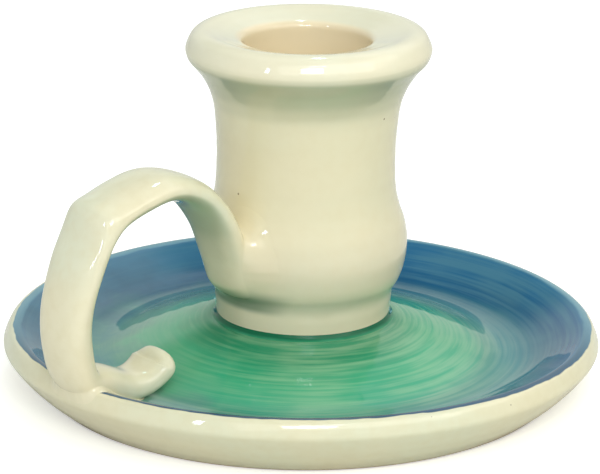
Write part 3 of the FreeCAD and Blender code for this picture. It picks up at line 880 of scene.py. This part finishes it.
# %% [markdown]
# ## A smooth line through the stations
# Clay bends evenly between two places that hold it. A cubic between each two stations does that,
# with slopes that weigh the nearer neighbour more, so that close stations don't make it swing.
# Width and thickness go through the same cubics, so they change as smoothly as the line does.

# %% The strap's middle line
def through(stations, steps=16):
    gaps = [max(math.dist(a[:2], b[:2]), 1e-6) for a, b in zip(stations, stations[1:])]
    rates = [[(q - p) / gap for p, q in zip(a, b)] for a, b, gap in zip(stations, stations[1:], gaps)]
    slopes = [rates[0]]
    for before, after, gap, next_gap in zip(rates, rates[1:], gaps, gaps[1:]):
        slopes.append([(p * next_gap + q * gap) / (gap + next_gap) for p, q in zip(before, after)])
    slopes.append(rates[-1])
    points = []
    for here, there, leave, arrive, gap in zip(stations, stations[1:], slopes, slopes[1:], gaps):
        for step in range(steps):
            t = step / steps
            arrived = 3 * t**2 - 2 * t**3
            weights = (1 - arrived, (t**3 - 2 * t**2 + t) * gap, arrived, (t**3 - t**2) * gap)
            points.append(tuple(
                sum(weight * value for weight, value in zip(weights, values))
                for values in zip(here, leave, there, arrive)
            ))
    return [*points, stations[-1]]


strap_spacing = 0.4
strap_line = eased(even(through(strap_stations), strap_spacing), 6)
strap_length = sum(math.dist(a[:2], b[:2]) for a, b in zip(strap_line, strap_line[1:]))
print(f"strap line: {len(strap_line)} points, {strap_length:.1f} mm long")

# %% [markdown]
# ## A line that carries values
# The next trees need more than a line's place: how wide, how thick and which way out the clay is
# at every point. Named attributes on a mesh of one line carry such values into a tree.

# %% Line mesh
def line_mesh(name, count, closed=False, **values):
    """A mesh that is one line of points. Its values are floats, or vectors as flat lists."""
    mesh = bpy.data.meshes.new(name)
    ends = range(count if closed else count - 1)
    mesh.from_pydata([(i * MM, 0, 0) for i in range(count)], [(i, (i + 1) % count) for i in ends], [])
    for label, numbers in values.items():
        kind, field = ("FLOAT", "value") if len(numbers) == count else ("FLOAT_VECTOR", "vector")
        mesh.attributes.new(label, kind, "POINT").data.foreach_set(field, numbers)
    print(f"{name}: {count} points with {', '.join(values)}")
    return mesh


# %% [markdown]
# ## The skin round the strap
# The tree wraps a hoop round the line and sets every point of it from the named attributes. The
# oval is a little squarer than an ellipse, as a strap is when it is pulled between finger and
# thumb, so the sine and cosine that draw it are pushed towards the corners.

# %% The strap's tree
pull, given = new_tree("pull", {
    "Line": "Geometry", "Around": "Int",
    "Wander": "Float", "Seed": "Float", "Glaze": "Material",
})
hoop = add(pull, "GeometryNodeCurvePrimitiveCircle", {"Resolution": given["Around"], "Radius": MM})
turn = add(pull, "DIVIDE", (add(pull, "GeometryNodeInputIndex"), given["Around"]))
hoop = add(pull, "GeometryNodeStoreNamedAttribute", {
    "Geometry": hoop, "Name": "hoop_angle", "Value": add(pull, "MULTIPLY", (turn, math.tau)),
}, domain="POINT")
line = add(pull, "GeometryNodeMeshToCurve", (given["Line"],))
skin = add(pull, "GeometryNodeCurveToMesh", {"Curve": line, "Profile Curve": hoop})
hoop_angle, half_width, half_thickness, knuckle, squareness = (
    add(pull, "GeometryNodeInputNamedAttribute", {"Name": name}, data_type="FLOAT")
    for name in ("hoop_angle", "half_width", "half_thickness", "knuckle", "squareness")
)
centre, outward = (
    add(pull, "GeometryNodeInputNamedAttribute", {"Name": name}, data_type="FLOAT_VECTOR")
    for name in ("centre", "outward")
)


def squared(tree, value, power):
    """Pushes a sine or cosine towards the corners and keeps its sign."""
    size = add(tree, "POWER", (add(tree, "ABSOLUTE", (value,)), power))
    return add(tree, "MULTIPLY", (size, add(tree, "SIGN", (value,))))


across = squared(pull, add(pull, "COSINE", (hoop_angle,)), squareness)
out = squared(pull, add(pull, "SINE", (hoop_angle,)), squareness)
print("nodes round the hoop:", len(pull.nodes))

# %% [markdown]
# ## Thumb marks and squeeze
# The knuckle raises only the outer side, where the thumb bent the strap. Last, the whole skin
# wanders slightly along its own normals, where the hand squeezed more or less. Merging the
# points at both ends closes them.

# %% Wrap and squeeze the skin
raised = add(pull, "MULTIPLY", (add(pull, "MAXIMUM", (out, 0.0)), knuckle))
reach_out = add(pull, "MULTIPLY_ADD", (out, half_thickness, raised))
sideways = add(pull, "ShaderNodeCombineXYZ", {1: add(pull, "MULTIPLY", (across, half_width))})
away = add(pull, "ShaderNodeVectorMath", {0: outward, 3: reach_out}, operation="SCALE")
spot = add(pull, "ShaderNodeVectorMath", (centre, sideways), operation="ADD")
spot = add(pull, "ShaderNodeVectorMath", (spot, away), operation="ADD")
wrapped = add(pull, "GeometryNodeSetPosition", {"Geometry": skin, "Position": spot})
squeeze = add(pull, "ShaderNodeTexNoise", {
    "Vector": spot, "W": given["Seed"], "Scale": 70.0, "Detail": 1.0,
}, noise_dimensions="4D")
push = add(pull, "MULTIPLY", (add(pull, "SUBTRACT", (squeeze, 0.5)), given["Wander"]))
normal = add(pull, "GeometryNodeInputNormal")
pushed = add(pull, "ShaderNodeVectorMath", {0: normal, 3: push}, operation="SCALE")
squeezed = add(pull, "GeometryNodeSetPosition", {"Geometry": wrapped, "Offset": pushed})
ended = add(pull, "GeometryNodeMergeByDistance", {"Geometry": squeezed, "Distance": sliver})
close_tree(pull, ended, given["Glaze"])

# %% [markdown]
# ## The values along the strap
# Both ends are drawn in along a quarter circle, the tail over a longer way than the root. At the
# thumb's bend the strap was pinched: its underside is thinner there, a ridge stands just before
# the bend, and a hollow lies just behind it. Such soft local marks are bell curves. Towards the
# tail the oval gets squarer, as clay does that is only cut and laid down.

# %% Ends, pinch and thumb marks
last = len(strap_line) - 1
root_points, tail_points = 4.0, 9.0
thumb_marks = (((49.6, 42.0), 2.1, 1.1), ((52.6, 37.8), 3.0, -0.9))
pinch_place, pinch_reach, pinch_depth = (51.0, 39.5), 3.8, 0.7


def rounded_end(at):
    share = min(1.0, at / root_points, (last - at) / tail_points)
    return math.sqrt(max(0.0, 1 - (1 - share) ** 2))


def bell(point, middle, reach):
    return math.exp(-(math.dist(point[:2], middle) / reach) ** 2)


def corner_power(at):
    """The power for squared(), which falls over the last stretch of the strap."""
    return 0.88 - 0.08 * min(1.0, max(0.0, (at / last - 0.86) / 0.08))


pinch = [pinch_depth * MM * bell(point, pinch_place, pinch_reach) for point in strap_line]
knuckles = [
    nip + sum(height * MM * bell(point, middle, reach) for middle, reach, height in thumb_marks)
    for point, nip in zip(strap_line, pinch)
]
print(f"deepest pinch {max(pinch) / MM:.2f} mm, highest knuckle {max(knuckles) / MM:.2f} mm")

# %% [markdown]
# ## Pull the strap
# Outward is square to the line, worked out from the points before and after. The strap lies in
# the plane of X, on the side away from X, so a place out from the axis is a negative X.

# %% Pulled strap
outward = []
for before, after in zip([strap_line[0], *strap_line], [*strap_line[1:], strap_line[-1]]):
    run, rise = after[0] - before[0], after[1] - before[1]
    outward += [rise / math.hypot(run, rise), 0.0, run / math.hypot(run, rise)]
strap = made("pulled_strap", pull, {
    "Around": 96, "Wander": 0.3 * MM, "Seed": 2.0, "Glaze": cream_glaze,
}, line_mesh(
    "strap_line", len(strap_line), outward=outward, knuckle=knuckles,
    squareness=[corner_power(at) for at in range(last + 1)],
    centre=[number for out, up, _, _ in strap_line for number in (-out * MM, 0.0, up * MM)],
    half_width=[
        wide / 2 * strap_width * MM * rounded_end(at) for at, (_, _, wide, _) in enumerate(strap_line)
    ],
    half_thickness=[
        thick / 2 * strap_thickness * MM * rounded_end(at) - pinch[at]
        for at, (_, _, _, thick) in enumerate(strap_line)
    ],
))

# %% [markdown]
# ## Clay worked into the joints
# Where the strap meets the belly and the saucer, a finger smoothed soft clay into the corner. A
# union and a bevel would make a hard, even fillet. Instead the script finds the line where the
# two skins cross and builds on it. A skin's nearest face tells which side of it a point is on, so
# the line goes through every edge whose two ends are on different sides.

# %% Where two skins cross
def height_over(tree, point):
    near, normal, _, _ = tree.find_nearest(point)
    return (point - near).dot(normal)


def crossing_line(mesh, base_tree):
    """The longest closed line of points where a mesh's skin passes through a base."""
    heights = [height_over(base_tree, vertex.co) for vertex in mesh.vertices]
    crossings, beside = {}, {}
    for face in mesh.polygons:
        cut = []
        for a, b in face.edge_keys:
            if (heights[a] < 0) != (heights[b] < 0):
                share = heights[a] / (heights[a] - heights[b])
                crossings[a, b] = mesh.vertices[a].co.lerp(mesh.vertices[b].co, share)
                cut.append((a, b))
        if len(cut) == 2:
            beside.setdefault(cut[0], []).append(cut[1])
            beside.setdefault(cut[1], []).append(cut[0])
    loops = []
    while beside:
        here = next(iter(beside))
        loop = []
        while here in beside:
            loop.append(crossings[here])
            here = next((key for key in beside.pop(here) if key in beside), None)
        loops.append(loop)
    print("lines where the skins cross:", [len(loop) for loop in loops])
    return max(loops, key=len)


# %% [markdown]
# ## Even and ease a closed line
# The crossing's points are as uneven as the two meshes that gave them. As with the outlines,
# they are spaced evenly and eased, but here the line has no ends.

# %% Closed lines
def ring_spaced(loop, count):
    gaps = [(b - a).length for a, b in zip(loop, [*loop[1:], loop[0]])]
    spacing = sum(gaps) / count
    points, travelled, at = [], 0.0, 0
    for step in range(count):
        while travelled + gaps[at] < step * spacing:
            travelled += gaps[at]
            at += 1
        share = (step * spacing - travelled) / max(gaps[at], 1e-9)
        points.append(loop[at].lerp(loop[(at + 1) % len(loop)], share))
    print(f"a joint {sum(gaps) / MM:.1f} mm round, in {count} steps")
    return points


def ring_eased(vectors, passes):
    for _ in range(passes):
        before, after = [vectors[-1], *vectors], [*vectors[1:], vectors[0]]
        vectors = [(a + b * 2 + c) / 4 for a, b, c in zip(before, vectors, after)]
    return vectors


# %% [markdown]
# ## The fillet's tree
# Every point of the crossing line carries a step on the strap, a step on the base and the corner
# between them. The tree sweeps a small loop along the line. The loop's first steps follow a
# curve from strap to base that bends towards the corner, which makes the hollow that a fingertip
# leaves, and its last steps close it under the two skins.

# %% Hollow and back of the fillet
across_count = 12
press, given = new_tree("press", {"Line": "Geometry", "Across": "Int", "Glaze": "Material"})
count = add(press, "ADD", (given["Across"], 4))
loop_curve = add(press, "GeometryNodeCurvePrimitiveCircle", {"Resolution": count, "Radius": MM})
loop_curve = add(press, "GeometryNodeStoreNamedAttribute", {
    "Geometry": loop_curve, "Name": "step", "Value": add(press, "GeometryNodeInputIndex"),
}, domain="POINT")
line = add(press, "GeometryNodeMeshToCurve", (given["Line"],))
skin = add(press, "GeometryNodeCurveToMesh", {"Curve": line, "Profile Curve": loop_curve})
step = add(press, "GeometryNodeInputNamedAttribute", {"Name": "step"}, data_type="FLOAT")
joint_lines = ("on_strap", "on_base", "corner", "under_strap", "under_base", "buried")
on_strap, on_base, corner, under_strap, under_base, buried = (
    add(press, "GeometryNodeInputNamedAttribute", {"Name": name}, data_type="FLOAT_VECTOR")
    for name in joint_lines
)
share = add(press, "DIVIDE", (add(press, "SUBTRACT", (step, 1)), given["Across"]), use_clamp=True)
past = add(press, "SUBTRACT", (step, given["Across"]))
first_step = add(press, "LESS_THAN", (step, 0.5))
next_to_last, last_step = (add(press, "GREATER_THAN", (past, beyond)) for beyond in (1.5, 2.5))
# In a mix of two places these are the inputs 4 and 5. Mixing twice by one share draws the curve
in_space = {"out": 1, "data_type": "VECTOR"}
leaving = add(press, "ShaderNodeMix", {"Factor": share, 4: on_strap, 5: corner}, **in_space)
arriving = add(press, "ShaderNodeMix", {"Factor": share, 4: corner, 5: on_base}, **in_space)
spot = add(press, "ShaderNodeMix", {"Factor": share, 4: leaving, 5: arriving}, **in_space)
spot = add(press, "ShaderNodeMix", {"Factor": first_step, 4: spot, 5: under_strap}, **in_space)
spot = add(press, "ShaderNodeMix", {"Factor": next_to_last, 4: spot, 5: under_base}, **in_space)
spot = add(press, "ShaderNodeMix", {"Factor": last_step, 4: spot, 5: buried}, **in_space)
pressed = add(press, "GeometryNodeSetPosition", {"Geometry": skin, "Position": spot})
close_tree(press, pressed, given["Glaze"])

# %% [markdown]
# ## Step away from the crossing
# From each point of the crossing a step is taken down the base and another up the strap. A finger
# smears the clay further over the broad skin than up the narrow strap. The corner is set where
# the tangents from both steps would meet, so that the fillet runs into both skins without an
# edge. Where the skins are nearly parallel, that would be far off, so it has a limit.

# %% Press clay into a joint
strap_step_share, base_step_share, corner_limit_shares = 0.55, 1.2, (-0.2, 0.6)
sunk, just_under, buried_depth = 0.25 * MM, 0.02 * MM, 0.5 * MM


def pressed_in(name, strap_mesh, base_mesh, leg, glaze, count=320):
    strap_tree, base_tree = trees = [
        BVHTree.FromPolygons([v.co for v in mesh.vertices], [p.vertices for p in mesh.polygons])
        for mesh in (strap_mesh, base_mesh)
    ]
    corners = ring_eased(ring_spaced(crossing_line(strap_mesh, base_tree), count), 6)
    strap_normals, base_normals = (
        ring_eased([tree.find_nearest(point)[1] for point in corners], 12) for tree in trees
    )
    places = {label: [] for label in joint_lines}
    for point, away, up in zip(corners, strap_normals, base_normals):
        away, up = away.normalized(), up.normalized()
        down_base = (away - up * away.dot(up)).normalized()
        down_strap = (up - away * up.dot(away)).normalized()
        between = (away + up).normalized()
        reach = leg(point / MM) * MM
        on_strap, strap_up, _, _ = strap_tree.find_nearest(point + down_strap * strap_step_share * reach)
        on_base, base_up, _, _ = base_tree.find_nearest(point + down_base * base_step_share * reach)
        rises = [
            n.dot(p - point) / max(n.dot(between), 0.3)
            for n, p in ((strap_up, on_strap), (base_up, on_base))
        ]
        least, most = (limit * reach for limit in corner_limit_shares)
        places["on_strap"].append(on_strap - strap_up * just_under)
        places["on_base"].append(on_base - base_up * just_under)
        places["corner"].append(point + between * sum(min(max(rise, least), most) for rise in rises) / 2)
        places["under_strap"].append(on_strap - strap_up * sunk)
        places["under_base"].append(on_base - base_up * sunk)
        places["buried"].append(point - between * buried_depth)
    flat = {
        label: [number for vector in ring_eased(vectors, 10) for number in vector]
        for label, vectors in places.items()
    }
    line = line_mesh(name + "_line", count, closed=True, **flat)
    return made(name, press, {"Across": across_count, "Glaze": glaze}, line)


# %% [markdown]
# ## Root and rim clay
# How far the clay was smeared isn't the same all round. At the root it is broad beside the strap,
# more so on one side, and tight at the strap's end in the groove. At the rim it is full on
# the crest and tight down in the well, where no finger fits.

# %% Root and rim clay
def root_leg(at):
    share = min(1.0, max(0.0, (at.z - 20.0) / 7.0))
    return 1.1 + share * share * (3 - 2 * share) * (3.2 - 1.2 * math.tanh(at.y / 2))


def rim_leg(at):
    return 0.8 + 1.2 * min(1.0, max(0.0, (-at.x - 49.5) / 4.0))


root_clay = pressed_in("pressed_root_clay", strap.data, socket.data, root_leg, cream_glaze)
rim_clay = pressed_in("pressed_rim_clay", strap.data, saucer.data, rim_leg, cream_glaze)

# %% [markdown]
# ## Camera
# The camera looks down at the pot from about eighteen degrees, with the loop to the left and the
# pot's right side to the right. A long lens from some way off keeps the ellipses of rim and lip
# nearly alike.

# %% Camera
camera_distance, camera_down, camera_roll, lens = 624.0, math.radians(17.6), math.radians(0.5), 197.0
aim_height, aim_left = 28.4, 0.66
level = Vector((-right.y, right.x, 0.0))
forward = level * math.cos(camera_down) - Vector((0, 0, math.sin(camera_down)))
target = (Vector((0, 0, aim_height)) - right * aim_left) * MM
camera = bpy.data.objects.new("camera", bpy.data.cameras.new("camera"))
camera.data.lens = lens
bpy.context.scene.collection.objects.link(camera)
camera.location = target - forward * camera_distance * MM
level_turn = forward.to_track_quat("-Z", "Y").to_matrix().to_4x4()
camera.rotation_euler = (level_turn @ Matrix.Rotation(camera_roll, 4, "Z")).to_euler()
bpy.context.scene.camera = camera
print("camera at", [round(number, 3) for number in camera.location])

# %% [markdown]
# ## Windows
# The walls of a bright room give every colour its plain level from the front, the right and
# behind. The windows are narrow, because their job is to be seen in the glaze: a low and a high
# pane behind the camera, a tall one to its left, and a skylight behind the pot. A place is given
# by its turn from the camera's side and its height above level, in degrees.

# %% Windows and bright walls
def window(name, turn_degrees, up_degrees, distance, width, height, watts, tint="#FFFFFF"):
    angle, up = math.radians(turn_degrees), math.radians(up_degrees)
    side = right * math.sin(angle) - level * math.cos(angle)
    aim = Vector((0, 0, 0.03))
    lamp = bpy.data.objects.new(name, bpy.data.lights.new(name, "AREA"))
    lamp.data.shape = "RECTANGLE"
    lamp.data.size, lamp.data.size_y, lamp.data.energy = width, height, watts
    lamp.data.color = linear(tint)[:3]
    lamp.location = aim + (side * math.cos(up) + Vector((0, 0, math.sin(up)))) * distance
    lamp.rotation_euler = (aim - lamp.location).to_track_quat("-Z", "Y").to_euler()
    bpy.context.scene.collection.objects.link(lamp)
    return lamp


window("window_low", 3.5, 33.5, 1.2, 0.38, 0.15, 3.0)
window("window_high", 9, 42.5, 1.2, 0.30, 0.09, 0.7, "#C8E0FF")
window("side_window", -40, 27, 1.4, 0.07, 0.2, 1.4, "#DCE8FF")
window("rear_skylight", 176, 58, 1.3, 0.07, 0.16, 0.9, "#BFF3FF")
window("bright_wall_front", 20, 38, 1.0, 1.7, 0.40, 3.8, "#FFFAF2")
window("bright_wall_right", 78, 34, 1.0, 0.7, 0.36, 1.0, "#FFF3DE")
# This one would show as a white sheet in the well, so it only lights
window("sky_behind", 165, 50, 1.5, 1.2, 0.6, 3.0).visible_glossy = False
print("lamps:", len(bpy.data.lights))

# %% [markdown]
# ## The room in the glaze
# Glossy clay mirrors the room, and the eye reads its gloss from that. So the world has three
# faces. Camera rays see plain white. Diffuse rays see soft daylight from above. Glossy rays see
# a room with a dimmer side, bright walls and a darker ceiling.

# %% Room
world = bpy.data.worlds.new("room")
bpy.context.scene.world = world
world.use_nodes = True
tree = world.node_tree
tree.nodes.clear()
rays = {ray.name: ray for ray in add(tree, "ShaderNodeLightPath", out=slice(None))}
direction = add(tree, "ShaderNodeTexCoord", out="Generated")
sky_side, sky_back, sky_up = add(tree, "ShaderNodeSeparateXYZ", (direction,), slice(0, 3))
sky_right = add(tree, "MULTIPLY_ADD", (sky_side, right.x, add(tree, "MULTIPLY", (sky_back, right.y))))
bright_side = add(tree, "ShaderNodeMapRange", (sky_right, -0.12, 0.22), **softly)
walls = add(tree, "ShaderNodeMix", {
    "Factor": bright_side, 6: linear("#50585A"), 7: linear("#FFFFFF"),
}, **in_colour)
over_table = add(tree, "ShaderNodeMapRange", (sky_up, 0.35, 0.55), **softly)
low_walls = add(tree, "ShaderNodeMix", {
    "Factor": over_table, 6: linear("#D2D6D4"), 7: walls,
}, **in_colour)
overhead = add(tree, "ShaderNodeMapRange", (sky_up, 0.80, 0.90), **softly)
mirrored = add(tree, "ShaderNodeMix", {
    "Factor": overhead, 6: low_walls, 7: linear("#6E7678"),
}, **in_colour)
daylight = add(tree, "ShaderNodeMix", {
    "Factor": sky_up, 6: linear("#464644"), 7: linear("#EAEEEC"),
}, **in_colour)
in_mirror = add(tree, "MAXIMUM", (rays["Is Glossy Ray"], rays["Is Transmission Ray"]))
tone = add(tree, "ShaderNodeMix", {"Factor": in_mirror, 6: daylight, 7: mirrored}, **in_colour)
tone = add(tree, "ShaderNodeMix", {
    "Factor": rays["Is Camera Ray"], 6: tone, 7: linear("#FFFFFF"),
}, **in_colour)
sky = add(tree, "ShaderNodeBackground", {"Color": tone, "Strength": 1.0})
tree.links.new(sky, tree.nodes.new("ShaderNodeOutputWorld").inputs[0])
print("room:", len(tree.nodes), "nodes")

# %% [markdown]
# ## A table of white paper
# The floor is a plain matt sheet that takes the pot's shadow. A little light of its own, which
# only the camera sees, lets it end in the white behind it and adds nothing to the pot.

# %% Floor
floor_reach, paper_glow = 3, 0.45
floor_mesh = bpy.data.meshes.new("floor")
floor_mesh.from_pydata([
    (floor_reach * x, floor_reach * y, 0) for x, y in ((-1, -1), (1, -1), (1, 1), (-1, 1))
], [], [(0, 1, 2, 3)])
floor = bpy.data.objects.new("floor", floor_mesh)
bpy.context.scene.collection.objects.link(floor)
paper = bpy.data.materials.new("matt_white_paper")
paper.use_nodes = True
tree = paper.node_tree
tree.nodes.clear()
matt = add(tree, "ShaderNodeBsdfDiffuse", {"Color": linear("#E8E7E2")})
camera_ray = add(tree, "ShaderNodeLightPath", out="Is Camera Ray")
glow = add(tree, "ShaderNodeEmission", {
    "Color": linear("#FFFFFF"), "Strength": add(tree, "MULTIPLY", (camera_ray, paper_glow)),
})
both = add(tree, "ShaderNodeAddShader", (matt, glow))
tree.links.new(both, tree.nodes.new("ShaderNodeOutputMaterial").inputs[0])
floor_mesh.materials.append(paper)
print("floor:", 2 * floor_reach, "m wide")

# %% [markdown]
# ## Which solid each piece stands for
# Every finished piece rides on the one body of the pot and takes the place of its plain solid.

# %% Ride and replace
for piece, node, slot in (
    (saucer, "saucer", "painted_saucer_glaze"), (socket, "candle_socket", "cream_glaze"),
    (seam, "socket_seam", "green_pooled_glaze"), (strap, "handle", "cream_glaze"),
    (root_clay, "handle_root_clay", "cream_glaze"), (rim_clay, "handle_rim_clay", "cream_glaze"),
):
    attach(piece, "root")
    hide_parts(node)
    print(piece.name, "stands for", node)

# %% [markdown]
# ## Finish
# Colours are shown as they are written, without a film look.

# %% Finish
bpy.context.scene.view_settings.view_transform = "Standard"
